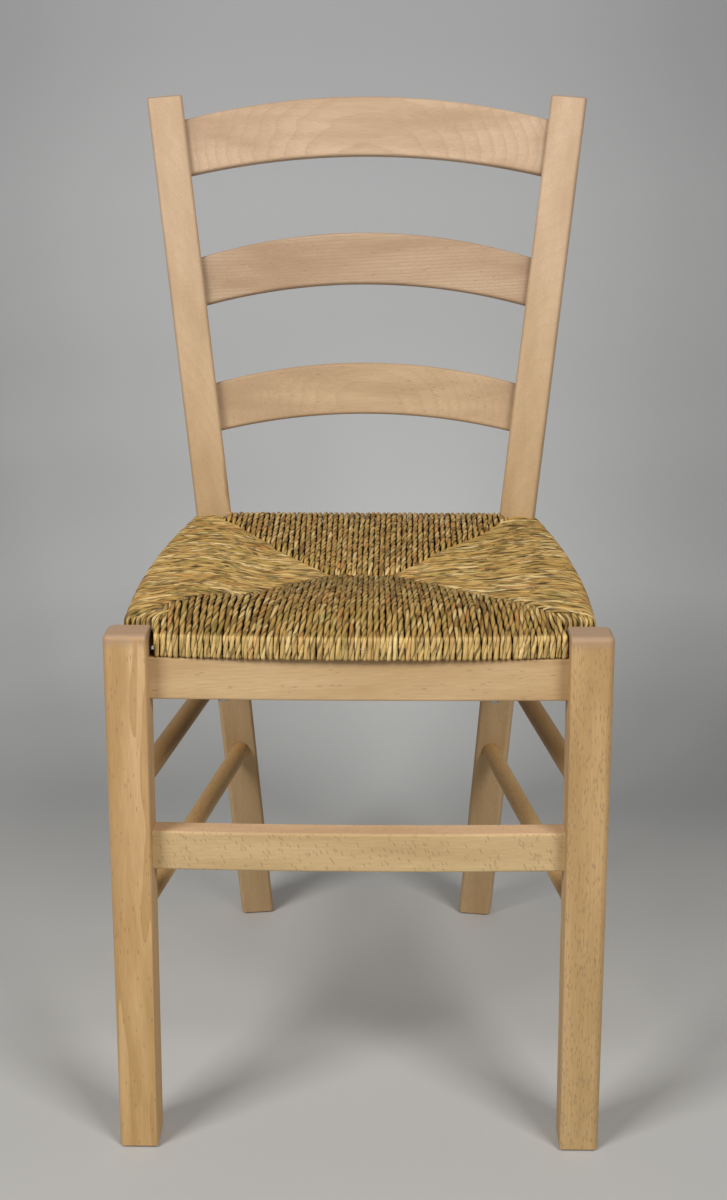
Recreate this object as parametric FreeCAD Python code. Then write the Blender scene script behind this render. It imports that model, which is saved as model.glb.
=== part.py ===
"""Ladderback dining chair in beech with a woven straw seat.

Millimetres, +Z up, +Y towards the back. +X is to the right of someone who stands in front of
the chair and looks at it, and left and right in the names of the pieces are theirs. The
pieces are built with y = 0 on the front legs' front faces, and moved at the end so that the
origin lies on the floor under the middle of the chair.
"""
import FreeCAD, Part
import math
import os
from FreeCAD import Vector

# Overall
overall_height = 880.0
joint_gap = 0.2                 # clearance round every tenon and dowel in its socket
socket_relief = 1.0             # how much deeper than its tenon a socket is cut
seat_gap = 0.3                  # clearance between the woven seat and the wood round it

# Front legs: square stock, a little slimmer and wider apart at the floor
front_leg_height = 461.0
front_leg_depth = 35.0
front_leg_width_top = 35.0
front_leg_width_foot = 33.0
front_outer_width_top = 406.0
front_outer_width_foot = 412.0
leg_corner_radius = 6.5
leg_inner_radius = 1.5
leg_top_radius = 4.5
foot_chamfer = 2.0              # round the sole of every leg

# Back posts: rear leg and upright sawn in one from a board, bent at the seat
post_width = 34.5
post_depth_foot = 30.0
post_depth_bend = 36.0
post_depth_top = 25.0
post_bend_height = 461.0
post_bend_setback = 377.0       # from the front legs' front faces to the posts' bend
post_outer_width = 334.6        # over both posts at the bend
post_foot_sweep = 74.0          # how far the foot goes back from the bend
post_top_rake = 80.0            # how far the top leans back from the bend
post_bend_radius = 400.0
post_turn = 8.65                # degrees that the board is turned, open to the back
post_lean = 5.0                 # degrees that the board leans outwards
post_edge_radius = 4.0
post_end_radius = 2.0

# Back slats: arched upwards and bowed backwards
slat_thickness = 13.0
slat_bow = 20.0
slat_edge_radius = 3.0
slat_shoulder = 1.5             # step from a slat's face down to its tenon
slat_edge_shoulder = 5.0        # step from a slat's edge down to its tenon
slat_tenon_length = 18.0
top_slat_drop = 51.0            # from the posts' top down to each slat's middle line at the posts
top_slat_height = 55.5
top_slat_rise = 23.5
middle_slat_drop = 180.0
middle_slat_height = 48.5
middle_slat_rise = 24.0
lower_slat_drop = 303.0
lower_slat_height = 49.0
lower_slat_rise = 18.5
slat_crown = 2.5                # how much more the upper edge of a slat rises than the lower

# Aprons and stretchers between the legs
apron_height = 36.0
apron_thickness = 22.0
apron_drop = 21.8               # from the front legs' top down to the aprons' top
front_apron_setback = 12.0
front_apron_bow = 4.0
rear_apron_setback = 9.0        # behind the posts' front faces
stretcher_height = 34.0
stretcher_thickness = 21.5
front_stretcher_top = 289.0
front_stretcher_setback = 9.0
front_stretcher_bow = 6.0
rear_stretcher_top = 300.0
rear_stretcher_setback = 7.0
rail_edge_radius = 2.0
rail_shoulder = 5.0             # step from a rail's face down to its tenon
rail_tenon_length = 20.0
edge_flat_count = 3             # flats that ease each long edge of a slat or rail
curve_span_count = 8            # stretches between the sections that a curved bar is shaped through

# Side stretchers: round dowels
dowel_diameter = 18.0
upper_dowel_height = 318.5
lower_dowel_height = 207.0
dowel_tenon_length = 19.0

# Woven seat on its own frame
cord_diameter = 5.3
seat_rail_height = 18.0
seat_rail_width = 24.0
seat_rail_tenon = 12.0
seat_front_setback = 4.0        # weave's front face behind the legs' front faces
seat_front_bow = 12.0
seat_width = 391.0              # over the weave's sides behind the front legs
seat_rear_width = 355.0         # over the weave's sides before the back posts
seat_side_bow = 7.0
seat_rear_edge = 402.0          # from the front legs' front faces to the weave's back
seat_crown = 3.0                # how far the weave swells over its rails
seat_dish = 5.0                 # how far its middle lies below the swell
seat_roll_radius = 11.0
seat_under_radius = 6.0
seat_front_face = 18.0          # height of the weave's upright face over the front apron
seat_front_run = 44.0           # from that face in to where the front weave stops rising
seat_front_radius = 5.0
seat_notch_gap = 4.5            # open slot between the front weave and each leg
seam_half_ridge = 29.0          # half the ridge between the two places where seams meet
seam_meeting = 167.0            # from the legs' front faces back to that ridge

# Screws that hold the seat frame down on the aprons
screw_length = 49.0
screw_diameter = 4.0
screw_head_diameter = 8.0
screw_head_height = 3.2
screw_spread = 110.0            # from the chair's middle out to each screw

# Values worked out from the sizes above
reach = 2.0 * overall_height    # longer than any piece, for blocks that trim
level = 0.1                     # an edge lies level at the floor or the top within this much
lean = math.radians(post_lean)
turn = math.radians(post_turn)
apron_top = front_leg_height - apron_drop
apron_bottom = apron_top - apron_height
seat_bottom = apron_top + seat_gap
frame_bottom = seat_bottom + cord_diameter
frame_top = frame_bottom + seat_rail_height
weave_top = frame_top + cord_diameter
seat_front_slope = (weave_top + seat_crown - seat_bottom - seat_front_face) / seat_front_run


def tangent_outline(corners):
    """Closed wire through corners (point, radius), each corner rounded by a tangent arc."""
    count = len(corners)
    starts, ends, arcs = [], [], []
    for index, (point, radius) in enumerate(corners):
        before = (corners[index - 1][0] - point).normalize()
        after = (corners[(index + 1) % count][0] - point).normalize()
        if radius <= 0.0:
            starts.append(point)
            ends.append(point)
            arcs.append(None)
            continue
        half = before.getAngle(after) / 2.0
        along = radius / math.tan(half)
        middle = point + (before + after).normalize() * (radius / math.sin(half) - radius)
        starts.append(point + before * along)
        ends.append(point + after * along)
        arcs.append(Part.Arc(starts[-1], middle, ends[-1]).toShape())
    edges = []
    for index in range(count):
        if arcs[index]:
            edges.append(arcs[index])
        following = starts[(index + 1) % count]
        edges.append(Part.LineSegment(ends[index], following).toShape())
    return Part.Wire(edges)


def prism(points, direction):
    """Straight solid whose section is the polygon through points."""
    return Part.Face(Part.makePolygon(points + points[:1])).extrude(direction)


def mirrored(shape):
    """The same piece for the other side of the chair."""
    return shape.mirror(Vector(0, 0, 0), Vector(1, 0, 0))


def mirrored_point(point):
    """The same point on the other side of the chair."""
    return Vector(-point.x, point.y, point.z)


def leg_outline(side_offset, low, high):
    """Front view of the right front leg between two heights, moved outwards by side_offset."""
    def inner(z):
        share = z / front_leg_height
        outer = front_outer_width_foot / 2 * (1 - share) + front_outer_width_top / 2 * share
        width = front_leg_width_foot * (1 - share) + front_leg_width_top * share
        return outer - width, outer
    bottom, top = inner(low), inner(high)
    return [Vector(bottom[0] + side_offset, 0, low), Vector(bottom[1] + side_offset, 0, low),
            Vector(top[1] + side_offset, 0, high), Vector(top[0] + side_offset, 0, high)]


def long_edges(shape, least):
    """Edges of a shape that are at least this long."""
    return [edge for edge in shape.Edges if edge.Length >= least]


def plain_front_leg():
    """Right front leg with rounded edges, before its sockets are cut."""
    leg = prism(leg_outline(0, 0, front_leg_height), Vector(0, front_leg_depth, 0))
    middle = leg.CenterOfMass.x
    leg = leg.makeChamfer(foot_chamfer, [edge for edge in leg.Edges if edge.BoundBox.ZMax < level])

    def uprights(outer):
        tall = long_edges(leg, front_leg_height * 0.9)
        return [edge for edge in tall if (edge.CenterOfMass.x > middle) == outer]
    leg = leg.makeFillet(leg_corner_radius, uprights(True))
    rim = [edge for edge in leg.Edges if edge.BoundBox.ZMin > front_leg_height - level]
    inner_end = min(rim, key=lambda edge: edge.CenterOfMass.x)
    leg = leg.makeFillet(leg_top_radius, [edge for edge in rim if not edge.isSame(inner_end)])
    return leg.makeFillet(leg_inner_radius, uprights(False))


def leg_wall(side, depth):
    """Everything beyond a front leg's inner face, sunk into the leg by depth."""
    near = leg_outline(depth, -reach, reach)
    far = Vector(reach, 0, 0)
    points = [near[0], near[0] + far, near[3] + far, near[3]]
    block = prism([point - Vector(0, reach, 0) for point in points], Vector(0, 2 * reach, 0))
    return block if side > 0 else mirrored(block)


def post_placement():
    """Where the right post's board stands: a outwards, b back and c up from its bend."""
    origin = Vector(post_outer_width / 2, post_bend_setback, post_bend_height)
    tilt = FreeCAD.Rotation(Vector(0, 1, 0), post_lean)
    yaw = FreeCAD.Rotation(Vector(0, 0, 1), -post_turn)
    return FreeCAD.Placement(origin, yaw.multiply(tilt))


post_rise = (overall_height - post_bend_height - post_width * math.sin(lean)) / math.cos(lean)
post_drop = post_bend_height / math.cos(lean) + post_width
bend_angle = math.atan(post_top_rake / post_rise) + math.atan(post_foot_sweep / post_drop)
bend_recede = post_bend_radius * (1 / math.cos(bend_angle / 2) - 1)


def post_front(c):
    """How far back the post's front edge lies at height c along its board."""
    return c * post_top_rake / post_rise if c > 0 else -c * post_foot_sweep / post_drop


def post_depth(c):
    """Depth of the post, front to back, at height c along its board."""
    end = post_depth_top if c > 0 else post_depth_foot
    share = c / post_rise if c > 0 else -c / post_drop
    return post_depth_bend + (end - post_depth_bend) * share


def plain_post():
    """Right back post with rounded edges, cut level at the floor, before its sockets."""
    def corner(b, c):
        return Vector(0, b, c)
    back_radius = post_bend_radius - post_depth_bend
    outline = tangent_outline([
        (corner(post_front(-post_drop), -post_drop), 0),
        (corner(0, 0), post_bend_radius),
        (corner(post_front(post_rise), post_rise), 0),
        (corner(post_front(post_rise) + post_depth_top, post_rise), 0),
        (corner(post_depth_bend, 0), back_radius),
        (corner(post_front(-post_drop) + post_depth_foot, -post_drop), 0)])
    board = Part.Face(outline).extrude(Vector(-post_width, 0, 0))
    along = [edge for edge in board.Edges
             if edge.BoundBox.XLength < level and edge.Length > post_depth_bend * 1.5]
    board = board.makeFillet(post_edge_radius, along)
    top = [edge for edge in board.Edges if edge.BoundBox.ZMin > post_rise - level]
    board = board.makeFillet(post_end_radius, top)
    board.Placement = post_placement()
    floor = Part.makeBox(2 * reach, 2 * reach, reach, Vector(-reach, -reach, -reach))
    post = board.cut(floor)
    sole = [edge for edge in post.Edges if edge.BoundBox.ZMax < level]
    return post.makeChamfer(foot_chamfer, sole)


def placed_block(corner):
    """Block in the right post's own directions that starts at a corner and runs on past all."""
    points = [corner + Vector(x * reach, y * 2 * reach, 0)
              for x, y in ((0, 0), (1, 0), (1, 1), (0, 1))]
    block = prism(points, Vector(0, 0, 2 * reach))
    block.Placement = post_placement()
    return block


def post_wall(side, depth):
    """Everything beyond a post's inner face, sunk into the post by depth."""
    block = placed_block(Vector(depth - post_width, -reach, -reach))
    return block if side > 0 else mirrored(block)


def post_point(height):
    """Middle of the right post's inner face at a height above the floor."""
    c = (height - post_bend_height - post_width * math.sin(lean)) / math.cos(lean)
    return post_placement().multVec(Vector(-post_width, post_front(c) + post_depth(c) / 2, c))


def arc_height(x, half, rise):
    """Height at x of an arc over its chord from minus to plus half, below it if rise is negative."""
    if not rise:
        return 0.0
    radius = (half * half + rise * rise) / (2 * abs(rise))
    height = math.sqrt(radius * radius - x * x) + abs(rise) - radius
    return height if rise > 0 else -height


def eased_section(x, front, back, low, high, radius):
    """Section of a bar at x: a rectangle whose corners are rounded by narrow flats."""
    corners = [(back - radius, high - radius), (front + radius, high - radius),
               (front + radius, low + radius), (back - radius, low + radius)]
    flats = edge_flat_count if radius else 0
    points = []
    for quarter, (y, z) in enumerate(corners):
        for step in range(flats + 1):
            angle = math.pi / 2 * (quarter + step / max(flats, 1))
            points.append(Vector(x, y + radius * math.cos(angle), z + radius * math.sin(angle)))
    return Part.makePolygon(points + points[:1])


def curved_bar(half, chord, bow, rise, crown, thickness, height, radius):
    """Bar half long each way that bows back and rises over plus and minus chord.

    Its upper edge rises by crown more than its lower one.
    """
    def section(x):
        back = arc_height(x, chord, bow)
        low = arc_height(x, chord, rise) - height / 2
        high = arc_height(x, chord, rise + crown) + height / 2
        return eased_section(x, back - thickness / 2, back + thickness / 2, low, high, radius)
    spans = curve_span_count if bow or rise else 1
    stations = [half * (2 * step / spans - 1) for step in range(spans + 1)]
    return Part.makeLoft([section(x) for x in stations], True, spans == 1)


def jointed(body, tenon, wall, depth):
    """Body trimmed at two walls, with the slimmer tenon running on into both by depth."""
    body = body.cut([wall(1, 0), wall(-1, 0)])
    tongue = tenon.cut([wall(1, depth), wall(-1, depth)])
    return body.fuse(tongue).removeSplitter()


def rail(half, bow, front, thickness, top, height, wall):
    """Rail between two uprights that bows forward, and the socket shape that its tenons need."""
    def bar(step, radius):
        shape = curved_bar(half, half, -bow, 0, 0, thickness - 2 * step, height - 2 * step, radius)
        return shape.translate(Vector(0, front + thickness / 2, top - height / 2))
    piece = jointed(bar(0, rail_edge_radius), bar(rail_shoulder, 0), wall, rail_tenon_length)
    depth = rail_tenon_length + socket_relief
    socket = bar(rail_shoulder - joint_gap, 0)
    return piece, socket.cut([wall(1, depth), wall(-1, depth)])


def slat(drop, height, rise):
    """Back slat below the posts' top by drop, and the socket shape for both its tenons."""
    anchor = post_point(overall_height - drop)
    rake = math.degrees(math.atan(post_top_rake * math.cos(turn) / (overall_height - post_bend_height)))

    def bar(edge_step, face_step, radius):
        shape = curved_bar(anchor.x + post_width, anchor.x, slat_bow, rise, slat_crown,
                           slat_thickness - 2 * face_step, height - 2 * edge_step, radius)
        shape.rotate(Vector(0, 0, 0), Vector(1, 0, 0), -rake)
        return shape.translate(Vector(0, anchor.y, anchor.z))
    piece = jointed(bar(0, 0, slat_edge_radius), bar(slat_edge_shoulder, slat_shoulder, 0),
                    post_wall, slat_tenon_length)
    depth = slat_tenon_length + socket_relief
    socket = bar(slat_edge_shoulder - joint_gap, slat_shoulder - joint_gap, 0)
    return piece, socket.cut([post_wall(1, depth), post_wall(-1, depth)])


def side_dowel(height):
    """Right side stretcher at a height, and the socket shape for both its ends."""
    inner, outer = leg_outline(0, height, front_leg_height)[:2]
    start = Vector((inner.x + outer.x) / 2, front_leg_depth, height)
    c = (height - post_bend_height - post_width / 2 * math.sin(lean)) / math.cos(lean)
    end = post_placement().multVec(Vector(-post_width / 2, post_front(c), c))
    run = (end - start).normalize()
    first = start - run * dowel_tenon_length
    length = (end - start).Length + 2 * dowel_tenon_length
    rod = Part.makeCylinder(dowel_diameter / 2, length, first, run)
    socket = Part.makeCylinder(dowel_diameter / 2 + joint_gap, length + 2 * socket_relief,
                               first - run * socket_relief, run)
    return rod, socket


def side_line(offset):
    """Right edge of the seat in plan, moved inwards by offset: its front and rear points."""
    front = Vector(seat_width / 2 - offset, front_leg_depth, 0)
    rear = Vector(seat_rear_width / 2 - offset, post_bend_setback, 0)
    return front, rear


def front_rail_waste(grow):
    """Wedge cut off the front rail's top, so that the weave over it can slope."""
    y0 = seat_front_setback + seat_front_bow
    y1 = y0 + seat_front_run
    z0 = seat_bottom + seat_front_face - cord_diameter + grow * math.hypot(1, seat_front_slope)
    z1 = z0 + seat_front_run * seat_front_slope
    points = [Vector(-reach, y, z) for y, z in ((y0, z0), (y1, z1), (y1, reach), (y0, reach))]
    return prism(points, Vector(2 * reach, 0, 0))


def seat_frame(grow):
    """The four wooden rails inside the woven seat, each larger by grow on every face."""
    low = frame_bottom - grow
    up = Vector(0, 0, seat_rail_height + 2 * grow)
    wrap = cord_diameter - grow
    width = seat_rail_width + 2 * grow
    front_edge = seat_front_setback + seat_front_bow + wrap
    front_step = front_leg_depth + seat_gap + wrap
    front_inner = front_step + width
    leg_clear = leg_outline(0, seat_bottom, front_leg_height)[0].x - seat_notch_gap - wrap
    rear_edge = seat_rear_edge - wrap
    rear_step = post_bend_setback - seat_gap - wrap
    rear_inner = rear_step - width
    post_clear = min(post_point(seat_bottom).x, post_point(weave_top).x) - seat_notch_gap - wrap
    front_point, rear_point = side_line(wrap)
    slope = (rear_point.x - front_point.x) / (rear_point.y - front_point.y)

    def edge_x(y):
        return front_point.x + (y - front_point.y) * slope

    def cross_rail(edge, step, inner, clear):
        right = [(clear, edge), (clear, step), (edge_x(step), step), (edge_x(inner), inner)]
        points = [Vector(-x, y, low) for x, y in right] + [Vector(x, y, low) for x, y in reversed(right)]
        return prism(points, up)

    def side_bar(y0, y1, outer, across, base, height):
        points = [Vector(edge_x(y) - inset, y, base)
                  for y, inset in ((y0, outer), (y1, outer), (y1, outer + across), (y0, outer + across))]
        return prism(points, Vector(0, 0, height))
    front = cross_rail(front_edge, front_step, front_inner, leg_clear).cut(front_rail_waste(grow))
    rear = cross_rail(rear_edge, rear_step, rear_inner, post_clear)
    side = side_bar(front_inner, rear_inner, 0, width, low, up.z)
    if grow:
        return front.fuse([rear, side, mirrored(side)])

    def tongue(step):
        thickness, across = seat_rail_height / 3, seat_rail_width / 2
        return side_bar(front_inner - seat_rail_tenon - step, rear_inner + seat_rail_tenon + step,
                        across / 2 - step, across + 2 * step,
                        low + (seat_rail_height - thickness) / 2 - step, thickness + 2 * step)
    right = side.fuse(tongue(0)).removeSplitter()
    sockets = [tongue(joint_gap), mirrored(tongue(joint_gap))]
    return {"seat_rail_front": front.cut(sockets), "seat_rail_rear": rear.cut(sockets),
            "seat_rail_left": mirrored(right), "seat_rail_right": right}


def weave_profile(depth, face_top, radius, run):
    """Section across one side of the weave: x inwards from its outer face, y as height."""
    crown = weave_top + seat_crown
    return [((0.0, seat_bottom), seat_under_radius),
            ((0.0, face_top), radius),
            ((run, crown), 4 * seat_roll_radius),
            ((depth, crown - seat_dish), 0.0),
            ((depth, seat_bottom), 0.0)]


def weave_sector(kind):
    """One of the weave's four sectors, as a bowed bolster, before the seams trim it."""
    face_top, radius, run = weave_top, seat_roll_radius, seat_rail_width + 2 * cord_diameter
    if kind == "front":
        face_top, radius, run = seat_bottom + seat_front_face, seat_front_radius, seat_front_run
        depth, bow, half = seam_meeting + seam_half_ridge, seat_front_bow, seat_width / 2
        origin, inward = Vector(0, seat_front_setback, 0), Vector(0, 1, 0)
    elif kind == "rear":
        depth, bow, half = seat_rear_edge - seam_meeting + seam_half_ridge, 0.0, seat_width / 2
        origin, inward = Vector(0, seat_rear_edge, 0), Vector(0, -1, 0)
    else:
        front, rear = side_line(0)
        depth, bow, half = seat_width / 2 - seam_half_ridge / 2, seat_side_bow, (rear - front).Length / 2
        inward = Vector(front.y - rear.y, rear.x - front.x, 0).normalize()
        origin = (front + rear) / 2 - inward * bow
    corners = [(origin + inward * x + Vector(0, 0, z), corner)
               for (x, z), corner in weave_profile(depth, face_top, radius, run)]
    face = Part.Face(tangent_outline(corners))
    if not bow:
        across = inward.cross(Vector(0, 0, 1)) * half
        return face.translate(-across).extrude(across * 2)
    radius = (half * half + bow * bow) / (2 * bow)
    angle = math.degrees(math.asin(half / radius)) + 3.0
    pivot = origin + inward * radius
    face.rotate(pivot, Vector(0, 0, 1), -angle)
    return face.revolve(pivot, Vector(0, 0, 1), 2 * angle)


def woven_seat():
    """The straw weave: four sectors that meet on diagonal seams, hollow for its frame."""
    left_meet = Vector(-seam_half_ridge, seam_meeting, 0)
    right_meet = mirrored_point(left_meet)
    leg_side = leg_outline(0, seat_bottom, front_leg_height)[0].x - seat_notch_gap
    leg_back = front_leg_depth + seat_gap
    post_front_corner = Vector(-post_width - seat_gap, bend_recede - seat_gap, 0)
    rear_corner = post_placement().multVec(post_front_corner)

    def beyond(meet, corner):
        return meet + (Vector(corner.x, corner.y, 0) - meet) * 3.0

    front_right = beyond(right_meet, Vector(leg_side, leg_back, 0))
    rear_right = beyond(right_meet, rear_corner)
    up = Vector(0, 0, reach)
    plans = {"front": [left_meet, mirrored_point(front_right), front_right, right_meet],
             "rear": [right_meet, rear_right, mirrored_point(rear_right), left_meet],
             "right": [right_meet, front_right, rear_right]}
    parts = {kind: weave_sector(kind).common(prism(plan, up)) for kind, plan in plans.items()}
    weave = parts["front"].fuse([parts["rear"], parts["right"], mirrored(parts["right"])])
    leg_notch = Part.makeBox(reach, reach + leg_back, reach, Vector(leg_side, -reach, 0))
    post_notch = placed_block(post_front_corner - Vector(0, 0, reach))
    notches = [leg_notch, mirrored(leg_notch), post_notch, mirrored(post_notch)]
    return weave.cut(notches).removeSplitter()


def stuffing_space(grow):
    """Loose straw that fills the weave inside its frame, larger by grow on every face."""
    rail_inner = front_leg_depth + seat_gap + cord_diameter + seat_rail_width
    rear_inner = post_bend_setback - seat_gap - cord_diameter - seat_rail_width
    clear = cord_diameter + seat_rail_width + 2 * joint_gap
    (front, rear) = side_line(clear - grow)
    slope = (rear.x - front.x) / (rear.y - front.y)
    y0, y1 = rail_inner + 2 * joint_gap - grow, rear_inner - 2 * joint_gap + grow
    x0, x1 = front.x + slope * (y0 - front.y), front.x + slope * (y1 - front.y)
    low = frame_bottom - grow
    high = weave_top + seat_crown - seat_dish - cord_diameter - 2 * joint_gap + grow
    points = [Vector(-x0, y0, low), Vector(x0, y0, low), Vector(x1, y1, low), Vector(-x1, y1, low)]
    return prism(points, Vector(0, 0, high - low))


def seat_screw(x, y, grow):
    """One screw up through an apron into the seat frame, or its hole when grow is set."""
    seat = Vector(x, y, apron_bottom)
    shank = Part.makeCylinder(screw_diameter / 2 + grow, screw_length + grow, seat)
    if grow:
        return shank
    below = Vector(0, 0, screw_head_height)
    head = Part.makeCylinder(screw_head_diameter / 2, screw_head_height, seat - below)
    return head.fuse(shank).removeSplitter()


def build():
    """Every piece of the chair by its node name."""
    pieces, leg_sockets, post_sockets = {}, [], []
    front_half = front_outer_width_foot / 2
    back_half = post_outer_width / 2

    apron, socket = rail(front_half, front_apron_bow, front_apron_setback + front_apron_bow,
                         apron_thickness, apron_top, apron_height, leg_wall)
    leg_sockets.append(socket)
    stretcher, socket = rail(front_half, front_stretcher_bow,
                             front_stretcher_setback + front_stretcher_bow, stretcher_thickness,
                             front_stretcher_top, stretcher_height, leg_wall)
    leg_sockets.append(socket)
    pieces["front_stretcher"] = stretcher

    rear_apron_front = post_bend_setback + rear_apron_setback
    rear_apron, socket = rail(back_half, 0, rear_apron_front, apron_thickness,
                              apron_top, apron_height, post_wall)
    post_sockets.append(socket)
    middle = rear_stretcher_top - stretcher_height / 2
    rear_front = post_point(middle).y - stretcher_thickness / 2
    rear_stretcher, socket = rail(back_half, 0, rear_front, stretcher_thickness,
                                  rear_stretcher_top, stretcher_height, post_wall)
    post_sockets.append(socket)
    pieces["rear_stretcher"] = rear_stretcher

    slats = {"top": (top_slat_drop, top_slat_height, top_slat_rise),
             "middle": (middle_slat_drop, middle_slat_height, middle_slat_rise),
             "lower": (lower_slat_drop, lower_slat_height, lower_slat_rise)}
    for place, sizes in slats.items():
        pieces["back_slat_" + place], socket = slat(*sizes)
        post_sockets.append(socket)

    for place, height in (("upper", upper_dowel_height), ("lower", lower_dowel_height)):
        rod, socket = side_dowel(height)
        pieces[f"side_stretcher_{place}_right"] = rod
        pieces[f"side_stretcher_{place}_left"] = mirrored(rod)
        leg_sockets.append(socket)
        post_sockets.append(socket)

    leg, post = plain_front_leg().cut(leg_sockets), plain_post().cut(post_sockets)
    pieces["front_leg_right"], pieces["front_leg_left"] = leg, mirrored(leg)
    pieces["back_post_right"], pieces["back_post_left"] = post, mirrored(post)

    front_row = front_apron_setback + apron_thickness / 2
    rear_row = rear_apron_front + apron_thickness / 2
    places = [(side * screw_spread, row) for row in (front_row, rear_row) for side in (-1, 1)]
    bores = [seat_screw(x, y, joint_gap) for x, y in places]
    pieces["seat_screws"] = Part.makeCompound([seat_screw(x, y, 0) for x, y in places])
    pieces["front_apron"], pieces["rear_apron"] = apron.cut(bores), rear_apron.cut(bores)
    for name, shape in seat_frame(0).items():
        pieces[name] = shape.cut(bores)
    stuffing = stuffing_space(0)
    pieces["seat_stuffing"] = stuffing
    pieces["woven_seat"] = woven_seat().cut([seat_frame(joint_gap), stuffing_space(joint_gap)] + bores)
    return pieces


def main():
    """Builds the chair, centres it over the origin and writes each piece."""
    pieces = build()
    back = max(shape.optimalBoundingBox().YMax for shape in pieces.values())
    shift = Vector(0, -back / 2, 0)
    os.makedirs("parts", exist_ok=True)
    for name, shape in sorted(pieces.items()):
        shape.translate(shift)
        box = shape.BoundBox
        print(f"{name:28s} solids {len(shape.Solids)} valid {shape.isValid()}"
              f" volume {shape.Volume / 1000:9.1f} cm3  x {box.XMin:7.1f} {box.XMax:7.1f}"
              f"  y {box.YMin:7.1f} {box.YMax:7.1f}  z {box.ZMin:6.1f} {box.ZMax:6.1f}")
        shape.exportStep(f"parts/{name}.step")


main()
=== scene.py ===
"""Studio picture of a ladderback dining chair in pale beech with a seat of woven straw.

Metres, +Z up, +Y towards the chair's back, +X to the right of someone who stands in front of
it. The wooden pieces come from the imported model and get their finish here. The straw is laid
here, strand by strand, in the space of the model's plain seat.
"""
import logging
import math
import random
from dataclasses import dataclass, field
from enum import Enum
from typing import Callable, Sequence

import bmesh
import bpy
import numpy
from bpy.types import ID, Material, Mesh, Node, NodeSocket, NodeTree, Object
from mathutils import Euler, Matrix, Vector


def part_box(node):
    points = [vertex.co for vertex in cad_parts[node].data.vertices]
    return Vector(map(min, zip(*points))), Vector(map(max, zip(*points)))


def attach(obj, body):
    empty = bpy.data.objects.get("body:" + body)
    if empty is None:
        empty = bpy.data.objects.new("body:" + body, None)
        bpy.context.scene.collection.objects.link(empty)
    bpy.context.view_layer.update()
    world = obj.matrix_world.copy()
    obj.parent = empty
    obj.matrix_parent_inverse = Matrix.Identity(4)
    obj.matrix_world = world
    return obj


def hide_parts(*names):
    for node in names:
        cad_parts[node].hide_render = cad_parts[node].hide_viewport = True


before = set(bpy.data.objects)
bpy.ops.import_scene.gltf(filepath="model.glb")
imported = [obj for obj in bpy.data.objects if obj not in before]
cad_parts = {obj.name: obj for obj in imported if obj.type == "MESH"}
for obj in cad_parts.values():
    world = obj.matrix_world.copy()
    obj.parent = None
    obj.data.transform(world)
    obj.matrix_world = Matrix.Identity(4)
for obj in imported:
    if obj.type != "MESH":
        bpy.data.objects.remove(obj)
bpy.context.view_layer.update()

log = logging.getLogger("ladderback_chair")
Feed = NodeSocket | float | Sequence[float]
Recipe = dict[str | int, Feed]
Triple = tuple[float, float, float]
Plan = tuple[float, float]
Table = tuple[Plan, ...]
Tones = tuple[tuple[float, Triple], ...]
BODY = "root"
TURN = 2 * math.pi
QUARTER = math.pi / 2
MM = 0.001
OUT_OF_REACH = 9.0  # a height or distance that no piece has, so what starts there never shows
WHITE: Triple = (1.0, 1.0, 1.0)


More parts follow.
